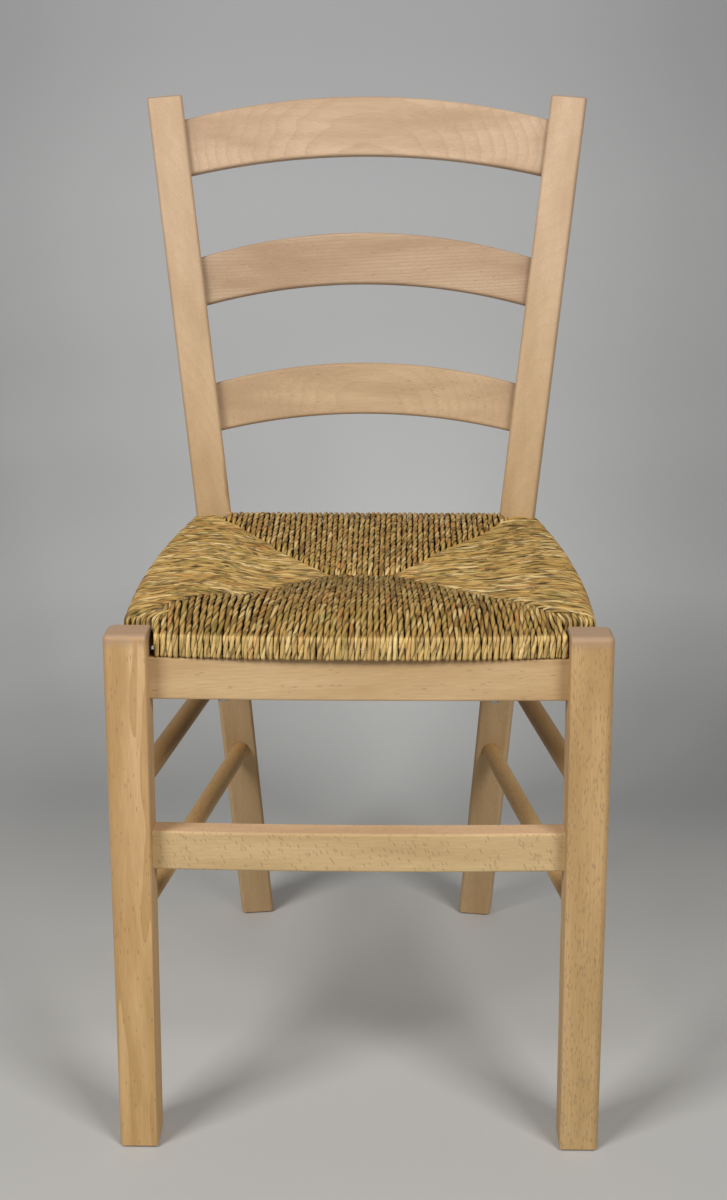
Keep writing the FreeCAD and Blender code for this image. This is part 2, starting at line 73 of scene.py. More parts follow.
class NodeBench:
    """Adds nodes to one tree and wires them, so that a finish reads as a short recipe."""

    def __init__(self, tree: NodeTree) -> None:
        """Keeps the material's or group's node tree."""
        self.tree = tree

    def feed(self, node: Node, inputs: Recipe) -> None:
        """Wires a node's inputs to sockets, or sets their numbers and colours.

        Args:
            node: The node to feed.
            inputs: A socket, number, vector or colour for each input's name or number.
        """
        for key, value in inputs.items():
            socket = node.inputs[key]
            if isinstance(value, NodeSocket):
                self.tree.links.new(value, socket)
            else:
                socket.default_value = (*value, 1.0) if socket.type == "RGBA" else value

    def add(self, kind: str, inputs: Recipe | None = None, **settings: object) -> Node:
        """Adds one node.

        Args:
            kind: The node's type without its ShaderNode prefix.
            inputs: What its inputs are fed with.
            settings: The node's own options.

        Returns:
            The new node.
        """
        node = self.tree.nodes.new("ShaderNode" + kind)
        for name, value in settings.items():
            setattr(node, name, value)
        self.feed(node, inputs or {})
        return node

    def calc(self, operation: str, *values: Feed) -> NodeSocket:
        """Result of one Math node on the values."""
        return self.add("Math", dict(enumerate(values)), operation=operation).outputs[0]

    def plus(self, first: Feed, second: Feed) -> NodeSocket:
        """Sum of two numbers."""
        return self.calc("ADD", first, second)

    def times(self, product: Feed, *factors: Feed) -> Feed:
        """Product of all the numbers."""
        for factor in factors:
            product = self.calc("MULTIPLY", product, factor)
        return product

    def parts(self, vector: Feed) -> Sequence[NodeSocket]:
        """X, Y and Z of a vector."""
        return self.add("SeparateXYZ", {0: vector}).outputs

    def joined(self, *axes: Feed) -> NodeSocket:
        """Vector with the given X, Y and Z."""
        return self.add("CombineXYZ", dict(enumerate(axes))).outputs[0]

    def place(self) -> NodeSocket:
        """Place in the object's own coordinates."""
        return self.add("TexCoord").outputs["Object"]

    def facing(self) -> NodeSocket:
        """Direction that the surface faces."""
        return self.add("NewGeometry").outputs["Normal"]

    def turned(self, vector: Feed, turn: Triple, **settings: object) -> Node:
        """The vector turned by angles round X, Y and Z."""
        return self.add("Mapping", {"Vector": vector, "Rotation": turn}, **settings)

    def stretched(self, vector: Feed, scale: Sequence[float]) -> NodeSocket:
        """The vector with each of its axes scaled."""
        node = self.add("VectorMath", {0: vector, 1: tuple(scale)}, operation="MULTIPLY")
        return node.outputs[0]

    def cells(self, vector: Feed, size: Triple) -> NodeSocket:
        """The vector measured in cells of a size."""
        return self.stretched(vector, [1 / side for side in size])

    def noise(self, vector: Feed, detail: float = 2.0, scale: float = 1.0) -> NodeSocket:
        """Smooth noise from 0 to 1 at the vector."""
        return self.add("TexNoise", {"Vector": vector, "Scale": scale, "Detail": detail}).outputs[0]

    def chance(self, *axes: Feed) -> Node:
        """A chance value and colour for each vector."""
        return self.add("TexWhiteNoise", {"Vector": self.joined(*axes)})

    def ranged(self, value: Feed, low: float, high: float, to_low: float = 0.0,
               to_high: float = 1.0) -> NodeSocket:
        """The value moved smoothly from one range to another and held inside it.

        Args:
            value: The number to move.
            low: Where the range starts.
            high: Where it ends.
            to_low: What low becomes.
            to_high: What high becomes.

        Returns:
            The moved number.
        """
        ends = {"From Min": low, "From Max": high, "To Min": to_low, "To Max": to_high}
        node = self.add("MapRange", {"Value": value, **ends}, interpolation_type="SMOOTHSTEP")
        return node.outputs[0]

    def blend(self, share: Feed, under: Feed, over: Feed, mode: str = "MIX") -> NodeSocket:
        """Colour between two colours.

        Args:
            share: 0 for the colour under, 1 for the colour over it.
            under: The first colour.
            over: The second colour.
            mode: How the second is laid on the first.

        Returns:
            The mixed colour.
        """
        inputs = {0: share, 6: under, 7: over}
        return self.add("Mix", inputs, data_type="RGBA", blend_type=mode).outputs[2]

    def tinted(self, colour: Feed, factor: Feed) -> NodeSocket:
        """The colour times a number or another colour."""
        return self.blend(1.0, colour, factor, "MULTIPLY")

    def ramp(self, value: Feed, tones: Tones) -> NodeSocket:
        """Colour from a ramp.

        Args:
            value: Where on the ramp, from 0 to 1.
            tones: Each stop's place and colour.

        Returns:
            The colour.
        """
        node = self.add("ValToRGB", {0: value})
        elements = node.color_ramp.elements
        while len(elements) < len(tones):
            elements.new(1.0)
        for element, (place, colour) in zip(elements, tones):
            element.position = place
            element.color = (*colour, 1.0)
        return node.outputs[0]

    def bump(self, height: Feed, strength: float, distance: float) -> NodeSocket:
        """The surface's direction, roughened by a height."""
        inputs = {"Height": height, "Strength": strength, "Distance": distance}
        return self.add("Bump", inputs).outputs[0]


@dataclass(frozen=True)
class Finish:
    """A procedural finish. Each kind has its own recipe for the Principled shader."""

    name: str

    def recipe(self, bench: NodeBench) -> Recipe:
        """What the shader's inputs are fed with."""
        raise NotImplementedError

    def material(self) -> Material:
        """Makes the finish.

        Returns:
            The new material.
        """
        material = bpy.data.materials.new(self.name)
        material.use_nodes = True
        bench = NodeBench(material.node_tree)
        bench.feed(material.node_tree.nodes["Principled BSDF"], self.recipe(bench))
        return material


class TimberGrain:
    """The figure of beech as one node group: growth rings, fibres and ray flecks."""

    fleck_size = (1.5 * MM, 1.5 * MM, 7.5 * MM)
    fleck_edge = (0.20, 0.42)
    fibre_size = (0.5 * MM, 0.5 * MM, 16.0 * MM)
    cloud_size = (22.0 * MM, 22.0 * MM, 160.0 * MM)
    drift_size = (30 * MM, 30 * MM, 260 * MM)
    drift_rings = 1.8
    ring_power = 3.0
    fibre_height = 0.6
    sockets = (("INPUT", "Vector", ("Position", "Fleck Position")),
               ("INPUT", "Float", ("Pitch", "Flecks")),
               ("OUTPUT", "Float", ("Ring", "Cloud", "Fibre", "Fleck", "Height")))
    group: NodeTree | None = None

    @classmethod
    def figure(cls, bench: NodeBench, inputs: Recipe) -> Sequence[NodeSocket]:
        """Places the figure in a material.

        Args:
            bench: The material's bench.
            inputs: Position in the timber with the pith along Z, the same for the flecks,
                the growth rings' pitch, and how many flecks show, from 0 to 1.

        Returns:
            The Ring, Cloud, Fibre, Fleck and Height outputs.
        """
        if cls.group is None:
            cls.group = cls.build()
        return bench.add("Group", inputs, node_tree=cls.group).outputs

    @classmethod
    def build(cls) -> NodeTree:
        """Makes the node group that every wooden finish shares.

        Returns:
            The group.
        """
        group = bpy.data.node_groups.new("beech_figure", "ShaderNodeTree")
        for way, kind, names in cls.sockets:
            for name in names:
                group.interface.new_socket(name=name, in_out=way, socket_type="NodeSocket" + kind)
        given = group.nodes.new("NodeGroupInput").outputs
        bench = NodeBench(group)
        timber = given["Position"]
        x, y = bench.parts(timber)[:2]
        radius = bench.calc("SQRT", bench.plus(bench.calc("POWER", x, 2.0),
                                               bench.calc("POWER", y, 2.0)))
        drift = bench.noise(bench.cells(timber, cls.drift_size))
        rings = bench.plus(bench.calc("DIVIDE", radius, given["Pitch"]),
                           bench.times(drift, cls.drift_rings))
        cloud = bench.noise(bench.cells(timber, cls.cloud_size), 3.0)
        fibre = bench.noise(bench.cells(timber, cls.fibre_size), 3.0)
        spots = {"Vector": bench.cells(given["Fleck Position"], cls.fleck_size), "Scale": 1.0}
        cells = bench.add("TexVoronoi", spots, feature="F1").outputs
        chosen = bench.add("SeparateColor", {0: cells["Color"]}).outputs[0]
        limit = bench.calc("SUBTRACT", 1.0, given["Flecks"])
        fleck = bench.times(bench.ranged(cells["Distance"], *cls.fleck_edge, 1.0, 0.0),
                            bench.calc("GREATER_THAN", chosen, limit))
        height = bench.calc("SUBTRACT", bench.times(fibre, cls.fibre_height), fleck)
        bench.feed(group.nodes.new("NodeGroupOutput"), {
            "Ring": bench.calc("POWER", bench.calc("FRACT", rings), cls.ring_power),
            "Cloud": cloud, "Fibre": fibre, "Fleck": fleck, "Height": height})
        return group


@dataclass(frozen=True)
class BeechFinish(Finish):
    """Bare sanded beech on one piece, with the grain running along it."""

    light: Triple
    dark: Triple
    fleck_colour: Triple = (0.330, 0.195, 0.105)
    end_colour: Triple = (0.430, 0.292, 0.200)
    turn: Triple = (0.0, 0.0, 0.0)
    fleck_turn: Triple | None = None
    pith: Triple = (0.05, 0.03, 0.0)
    pitch: float = 2.6 * MM
    flecks: float = 0.45
    ring_share: float = 0.45
    # Colour laid over a piece's lower part: painted shade that darkens it towards the floor, where
    # less light falls; on the back posts also a warmer tone.
    low_shade_and_tone: Triple = WHITE
    low_shade_span: Plan = (0.40, 0.85)
    # Colour laid on faces that face upwards: painted shade on the front apron's top under the
    # straw, and painted light on the front stretcher's top.
    upward_light_and_shade: Triple = WHITE
    cap_height: float = OUT_OF_REACH
    cap_span = (13 * MM, 2 * MM)
    cap_share = 0.8
    # Painted shadow of the back posts: the slats darken over the last stretch towards their ends.
    post_shadow_from: float = OUT_OF_REACH
    post_shadow_run = 20 * MM
    post_shadow_depth = 0.80
    cloud_span = (0.30, 0.72)
    fibre_span = (0.25, 0.75, 0.90, 1.07)
    rough_span = (0.2, 0.8, 0.50, 0.66)
    fleck_share = 0.6
    end_span = (0.3, 0.8)
    upward_face_span = (0.6, 0.95)

    def recipe(self, bench: NodeBench) -> Recipe:
        """What the shader's inputs are fed with.

        Args:
            bench: The material's bench.

        Returns:
            The inputs' sockets and numbers.
        """
        place, facing = bench.place(), bench.facing()
        timber = bench.turned(place, self.turn)
        bench.feed(timber, {"Location": self.pith})
        flecks = bench.turned(place, self.fleck_turn or self.turn)
        figure = TimberGrain.figure(bench, {
            "Position": timber.outputs[0], "Fleck Position": flecks.outputs[0],
            "Pitch": self.pitch, "Flecks": self.flecks})
        aside, _, height = bench.parts(place)
        along = bench.parts(bench.turned(facing, self.turn, vector_type="VECTOR").outputs[0])[2]
        cap = [self.cap_height - below for below in self.cap_span]
        end_grain = bench.calc("MAXIMUM", bench.ranged(height, *cap, 0.0, self.cap_share),
                               bench.ranged(bench.calc("ABSOLUTE", along), *self.end_span))
        ring = bench.times(figure["Ring"], self.ring_share)
        body = bench.blend(bench.ranged(figure["Cloud"], *self.cloud_span), self.light, self.dark)
        body = bench.blend(ring, body, self.dark)
        body = bench.tinted(body, bench.ranged(figure["Fibre"], *self.fibre_span))
        fleck = bench.times(figure["Fleck"], self.fleck_share)
        body = bench.blend(fleck, body, self.fleck_colour)
        # Painted shade towards the floor, with a warmer tone on the back posts.
        low = bench.ranged(height, *self.low_shade_span, 1.0, 0.0)
        body = bench.blend(low, body, bench.tinted(body, self.low_shade_and_tone))
        # Painted shadow of the back posts on the slats' ends.
        shade = bench.ranged(bench.calc("ABSOLUTE", aside), self.post_shadow_from,
                             self.post_shadow_from + self.post_shadow_run, 1.0, self.post_shadow_depth)
        body = bench.tinted(body, shade)
        # Painted light and shade on the faces that face upwards.
        upper = bench.ranged(bench.parts(facing)[2], *self.upward_face_span)
        body = bench.blend(upper, body, bench.tinted(body, self.upward_light_and_shade))
        ends = bench.blend(ring, self.end_colour, self.dark)
        return {"Base Color": bench.blend(end_grain, body, ends),
                "Roughness": bench.ranged(figure["Fibre"], *self.rough_span),
                "Specular IOR Level": 0.35,
                "Normal": bench.bump(figure["Height"], 0.25, 0.12 * MM)}


@dataclass(frozen=True)
class StrawFinish(Finish):
    """Dry straw, laid along a strand. Its map runs in metres along and from 0 to 1 round."""

    straws: int = 3
    straw_length: float = 36 * MM
    pale: float = 0.0
    # How dark the inner side of each cord is painted: painted shade between the cords.
    rim_shade: float = 0.90
    gain: float = 0.96
    # Painted light: how much lighter the upright front face is made.
    lit_face_gain = 0.22
    dashes: float = 0.30
    # Painted shade over the front cords' rear part, up to the ridge where they meet the rear cords.
    ridge_shade: float = 0.20
    ridge_rise = (-0.160, -0.115)
    ridge_fall = (-0.080, -0.078)
    # Painted light on the roll's upright front face: lighter and yellower below face_height.
    face_light: float = 1.0
    face_height: float = 0.4585
    face_share = 0.38
    lit_face_colour = (0.680, 0.520, 0.235)
    tones = ((0.0, (0.200, 0.105, 0.030)), (0.14, (0.385, 0.225, 0.060)),
             (0.50, (0.492, 0.310, 0.091)), (0.85, (0.590, 0.396, 0.136)),
             (1.0, (0.730, 0.545, 0.255)))
    odd_straws = ((1, (0.88, 0.95, 0.0, 0.45), (0.290, 0.270, 0.060)),
                  (2, (0.90, 0.96, 0.0, 0.65), (0.520, 0.215, 0.060)))
    pale_shift = 0.4
    shift_seed = 917.0
    pick_seed = 613.0
    fibre_scale = (90.0, 4.0, 71.0)
    fibre_span = (0.25, 0.75, 0.80, 1.14)
    rough_span = (0.2, 0.8, 0.50, 0.70)
    dash_scale = (80.0, 1.9, 531.0)
    dash_span = (0.54, 0.64)
    # Painted shade in the creases between a cord's straws, wider near each straw's end.
    tip_span = (0.30, 0.50, 0.0, 0.26)
    groove_shade_span = (0.36, 0.52, 1.0, 0.34)
    # Painted shade on each cord's inner side and painted light on its outer top, by how far out
    # each point lies.
    top_rim = (0.22, 0.78)
    top_light = 1.08
    face_rim = (0.0, 0.55, 0.12, 1.1)

    def recipe(self, bench: NodeBench) -> Recipe:
        """What the shader's inputs are fed with.

        Args:
            bench: The material's bench.

        Returns:
            The inputs' sockets and numbers.
        """
        where = bench.add("UVMap", uv_map=StrandBundle.uv_name).outputs[0]
        along, around, _ = bench.parts(where)
        strand, rim = (bench.add("Attribute", attribute_name=name).outputs["Fac"]
                       for name in (StrandBundle.strand_name, StrandBundle.rim_name))
        turned = bench.plus(bench.times(around, float(self.straws)), 0.5)
        straw = bench.calc("FLOOR", turned)
        shift = bench.chance(bench.times(strand, self.shift_seed), straw, 0.5).outputs["Value"]
        run = bench.plus(bench.calc("DIVIDE", along, self.straw_length), shift)
        pick = bench.chance(bench.times(strand, self.pick_seed), straw, bench.calc("FLOOR", run))
        picks = bench.add("SeparateColor", {0: pick.outputs["Color"]}).outputs
        body = bench.ramp(bench.plus(picks[0], self.pale * self.pale_shift), self.tones)
        for number, span, colour in self.odd_straws:
            body = bench.blend(bench.ranged(picks[number], *span), body, colour)
        place = bench.joined(along, turned, strand)
        fibre = bench.noise(bench.stretched(place, self.fibre_scale), 3.0)
        dash = bench.noise(bench.stretched(place, self.dash_scale), 1.0)
        # Painted shade in the creases between the straws, wider where a straw ends.
        edge, tip = (bench.calc("ABSOLUTE", bench.calc("SUBTRACT", bench.calc("FRACT", value), 0.5))
                     for value in (turned, run))
        groove_shade = bench.plus(edge, bench.ranged(tip, *self.tip_span))
        _, back, height = bench.parts(bench.place())
        # Painted light on the upright front face, where the lamps fall full on it, with a yellower
        # straw tone.
        face = bench.ranged(height, self.face_height - 1 * MM, self.face_height + 1 * MM,
                            self.face_light, 0.0)
        body = bench.blend(bench.times(face, self.face_share), body, self.lit_face_colour)
        # Painted shade on the front cords towards the ridge.
        ridge = bench.times(bench.ranged(back, *self.ridge_rise),
                            bench.ranged(back, *self.ridge_fall, 1.0, 0.0))
        # Painted shade on the cords' inner sides and painted light on their tops.
        top = bench.ranged(rim, *self.top_rim, 1 - self.rim_shade, self.top_light)
        rim_light_and_shade = bench.add("Mix", {0: face, 2: top, 3: bench.ranged(rim, *self.face_rim)},
                         data_type="FLOAT")
        shade = bench.times(
            bench.ranged(fibre, *self.fibre_span), bench.ranged(groove_shade, *self.groove_shade_span),
            bench.ranged(dash, *self.dash_span, 1.0, 1 - self.dashes),
            bench.ranged(ridge, 0.0, 1.0, 1.0, 1 - self.ridge_shade),
            rim_light_and_shade.outputs[0], bench.plus(self.gain, bench.times(face, self.lit_face_gain)))
        return {"Base Color": bench.tinted(body, shade),
                "Roughness": bench.ranged(fibre, *self.rough_span),
                "Specular IOR Level": 0.25,
                "Normal": bench.bump(fibre, 0.4, 0.3 * MM)}


@dataclass(frozen=True)
class FillingFinish(Finish):
    """Loose crushed straw inside the seat, coloured dark: painted shade, where it lies under the
    weave.
    """

    name: str = "straw_filling"
    tones = ((0.3, (0.070, 0.045, 0.018)), (0.7, (0.230, 0.160, 0.065)))

    def recipe(self, bench: NodeBench) -> Recipe:
        """What the shader's inputs are fed with."""
        chaff = bench.noise(bench.stretched(bench.place(), (300.0, 60.0, 300.0)), 4.0)
        return {"Base Color": bench.ramp(chaff, self.tones), "Roughness": 0.8,
                "Normal": bench.bump(chaff, 0.8, 1.0 * MM)}


@dataclass(frozen=True)
class SteelFinish(Finish):
    """Plain zinc-coated steel of the screws."""

    name: str = "screw_steel"
    tones = ((0.3, (0.420, 0.410, 0.400)), (0.7, (0.560, 0.550, 0.540)))

    def recipe(self, bench: NodeBench) -> Recipe:
        """What the shader's inputs are fed with."""
        grain = bench.noise(bench.stretched(bench.place(), (900.0, 900.0, 200.0)))
        return {"Base Color": bench.ramp(grain, self.tones), "Metallic": 1.0,
                "Roughness": bench.ranged(grain, 0.2, 0.8, 0.30, 0.45)}


def linked(name: str, data: ID) -> Object:
    """A new object for its data, put into the scene."""
    made = bpy.data.objects.new(name, data)
    bpy.context.scene.collection.objects.link(made)
    return made


def settle(work: bmesh.types.BMesh, mesh: Mesh) -> None:
    """Smooths the faces and writes them into the mesh."""
    for face in work.faces:
        face.smooth = True
    work.to_mesh(mesh)
    work.free()


class Drift:
    """A smooth random wander along a strand, from sine waves of random phase."""

    def __init__(self, rng: random.Random, reach: float, lengths: Sequence[float]) -> None:
        """Draws the waves.

        Args:
            rng: Where the phases come from.
            reach: How far each wave swings.
            lengths: The waves' lengths in metres.
        """
        self.waves = [(reach, TURN / length, rng.uniform(0, TURN)) for length in lengths]

    def at(self, distance: float) -> float:
        """The wander at a distance along the strand."""
        return sum(reach * math.sin(rate * distance + phase) for reach, rate, phase in self.waves)


def held(value: float) -> float:
    """The value kept between 0 and 1."""
    return min(max(value, 0.0), 1.0)


def eased(value: float) -> float:
    """Smooth step from 0 to 1 while the value does the same."""
    share = held(value)
    return share * share * (3 - 2 * share)


def between(table: Sequence[Plan], key: float) -> float:
    """Reads a table of (key, value) rows with straight lines between them."""
    return float(numpy.interp(key, [row[0] for row in table], [row[1] for row in table]))


class PlanPath:
    """A strand's way seen from above, from the weave's outer edge to where it dives."""

    def __init__(self, points: Sequence[Vector]) -> None:
        """Measures the way.

        Args:
            points: Its points, outer edge first.
        """
        self.points = [Vector(point) for point in points]
        self.marks = [0.0]
        for before, after in zip(self.points, self.points[1:]):
            self.marks.append(self.marks[-1] + (after - before).length)
        self.length = self.marks[-1]

    def at(self, distance: float) -> Vector:
        """Point at a distance along the way, on a straight line beyond its end."""
        index = 0
        while index < len(self.marks) - 2 and self.marks[index + 1] < distance:
            index += 1
        before, after = self.points[index], self.points[index + 1]
        share = (distance - self.marks[index]) / (self.marks[index + 1] - self.marks[index])
        return before + (after - before) * share

    def heading(self, distance: float) -> Vector:
        """Direction of the way at a distance, smoothed over its corners."""
        return (self.at(distance + 4 * MM) - self.at(max(distance - 4 * MM, 0.0))).normalized()


@dataclass
class Strand:
    """One strand: its centreline, and at each point its half width, twist and side vector."""

    points: list[Vector] = field(default_factory=list)
    widths: list[float] = field(default_factory=list)
    twists: list[float] = field(default_factory=list)
    sides: list[Vector] = field(default_factory=list)

    def distances(self) -> list[float]:
        """Length along the centreline up to each point.

        Returns:
            One length for each point, from 0.
        """
        total, along = 0.0, [0.0]
        for before, after in zip(self.points, self.points[1:]):
            total += (after - before).length
            along.append(total)
        return along

    def outwards(self) -> list[Vector]:
        """Direction out of the weave's face at each point.

        Returns:
            One unit vector for each point.
        """
        last = len(self.points) - 1
        found = []
        for index, side in enumerate(self.sides):
            tangent = self.points[min(index + 1, last)] - self.points[max(index - 1, 0)]
            found.append(tangent.cross(side).normalized())
        return found


@dataclass(frozen=True)
class StrandSection:
    """What a strand looks like cut across: round, with lobes where its straws lie."""

    sides: int
    lobes: int
    crease: float

    def outline(self) -> list[Plan]:
        """Points of the section for a half width of one.

        Returns:
            The points in order round the section.
        """
        points = []
        for step in range(self.sides):
            angle = TURN * step / self.sides
            dip = 1 - abs(math.cos(angle * self.lobes / 2))
            radius = 1 - self.crease * dip
            points.append((radius * math.cos(angle), radius * math.sin(angle)))
        return points


class StrandBundle:
    """Many strands with one section, swept together into one mesh."""

    uv_name = "UVMap"
    strand_name = "strand"
    rim_name = "rim"
    strand_step = 0.618034
    least_width = 0.2 * MM
    weld = 0.001 * MM

    def __init__(self, name: str, section: StrandSection, strands: list[Strand]) -> None:
        """Keeps what the bundle is made of.

        Args:
            name: The piece's name.
            section: The section that every strand has.
            strands: The strands themselves.
        """
        self.name = name
        self.section = section
        self.strands = strands

    def spline_curve(self, rows: list[list[Vector]], closed: bool) -> Object:
        """A curve object with one straight-run spline for each row of points.

        Args:
            rows: The rows of points.
            closed: Whether each spline closes on itself, flat on the ground.

        Returns:
            The new object, linked into the scene.
        """
        curve = bpy.data.curves.new(self.name + "_line", "CURVE")
        curve.dimensions = "2D" if closed else "3D"
        for row in rows:
            spline = curve.splines.new("POLY")
            spline.points.add(len(row) - 1)
            spline.points.foreach_set("co", [value for point in row for value in (*point, 1.0)])
            spline.use_cyclic_u = closed
        return linked(self.name + "_line", curve)

    def build(self, finish: Material) -> Object:
        """Sweeps the strands and dresses them.

        Args:
            finish: The strands' material.

        Returns:
            The finished piece.
        """
        section = self.spline_curve([[Vector((*spot, 0)) for spot in self.section.outline()]], True)
        lines = self.spline_curve([strand.points for strand in self.strands], False)
        lines.data.bevel_mode = "OBJECT"
        lines.data.bevel_object = section
        lines.data.twist_mode = "MINIMUM"
        for spline, strand in zip(lines.data.splines, self.strands):
            spline.points.foreach_set("radius", strand.widths)
            spline.points.foreach_set("tilt", strand.twists)
        bpy.context.view_layer.update()
        graph = bpy.context.evaluated_depsgraph_get()
        mesh = bpy.data.meshes.new_from_object(lines.evaluated_get(graph))
        mesh.name = self.name
        self.measure(mesh)
        self.close_ends(mesh)
        for temporary in (lines, section):
            curve = temporary.data
            bpy.data.objects.remove(temporary)
            bpy.data.curves.remove(curve)
        mesh.materials.append(finish)
        return linked(self.name, mesh)

    def rows(self, read: Callable[[Strand], list]) -> numpy.ndarray:
        """What is read at each point of each strand, once for each corner of the section."""
        found = [item for strand in self.strands for item in read(strand)]
        return numpy.repeat(numpy.array(found), self.section.sides, axis=0)

    def measure(self, mesh: Mesh) -> None:
        """Writes each point's place along its strand, its strand and how far out it lies.

        Args:
            mesh: The swept strands.
        """
        layer = mesh.uv_layers[0]
        layer.name = self.uv_name
        corners = numpy.empty(len(mesh.loops), dtype=numpy.int32)
        mesh.loops.foreach_get("vertex_index", corners)
        uv = numpy.empty(len(mesh.loops) * 2, dtype=numpy.float32)
        layer.data.foreach_get("uv", uv)
        uv[0::2] = self.rows(Strand.distances)[corners]
        layer.data.foreach_set("uv", uv)
        shares = [index * self.strand_step % 1.0 for index in range(len(self.strands))]
        counts = [len(strand.points) * self.section.sides for strand in self.strands]
        self.write(mesh, self.strand_name, numpy.repeat(shares, counts))
        places = numpy.empty(len(mesh.vertices) * 3, dtype=numpy.float32)
        mesh.vertices.foreach_get("co", places)
        offsets = places.reshape(-1, 3) - self.rows(lambda strand: strand.points)
        reach = (offsets * self.rows(Strand.outwards)).sum(axis=1)
        widths = numpy.maximum(self.rows(lambda strand: strand.widths), self.least_width)
        self.write(mesh, self.rim_name, reach / widths)

    @staticmethod
    def write(mesh: Mesh, name: str, values: numpy.ndarray) -> None:
        """Stores one number for each point of a mesh."""
        attribute = mesh.attributes.new(name, "FLOAT", "POINT")
        attribute.data.foreach_set("value", values.astype(numpy.float32))

    @classmethod
    def close_ends(cls, mesh: Mesh) -> None:
        """Joins each strand's drawn-in ends to a point and smooths its faces.

        Args:
            mesh: The swept strands.
        """
        work = bmesh.new()
        work.from_mesh(mesh)
        bmesh.ops.remove_doubles(work, verts=work.verts, dist=cls.weld)
        bmesh.ops.recalc_face_normals(work, faces=work.faces)
        settle(work, mesh)


class Side(Enum):
    """The four rails that the straw is wound over."""

    FRONT = "front"
    REAR = "rear"
    LEFT = "left"
    RIGHT = "right"

    @property
    def sign(self) -> int:
        """-1 for the front and the left, 1 for the rear and the right."""
        return -1 if self in (Side.FRONT, Side.LEFT) else 1


@dataclass(frozen=True)
class RollShape:
    """How the weave rounds a rail: an upright face, a bend and a rise to the crown."""

    face_top: float
    bend: float
    crown_inset: float
    rise: float
    dish: float = 3.0 * MM
    face_foot: float = 6.0 * MM
    sag: float = 0.0

    def height(self, inset: float, depth: float) -> float:
        """Height of the upper face over the weave's underside.

        Args:
            inset: Distance in from the outer edge, past the bend.
            depth: Inset of the middle of the seat, where the dish is deepest.

        Returns:
            The height.
        """
        share = held((inset - self.bend) / (self.crown_inset - self.bend))
        fall = self.dish * eased((inset - self.crown_inset) / (depth - self.crown_inset))
        return self.face_top + self.bend + self.rise * (4 * share - share ** 4) / 3 - fall

    @property
    def slope(self) -> float:
        """How steeply the upper face starts to rise past the bend."""
        return self.rise * 4 / 3 / (self.crown_inset - self.bend)


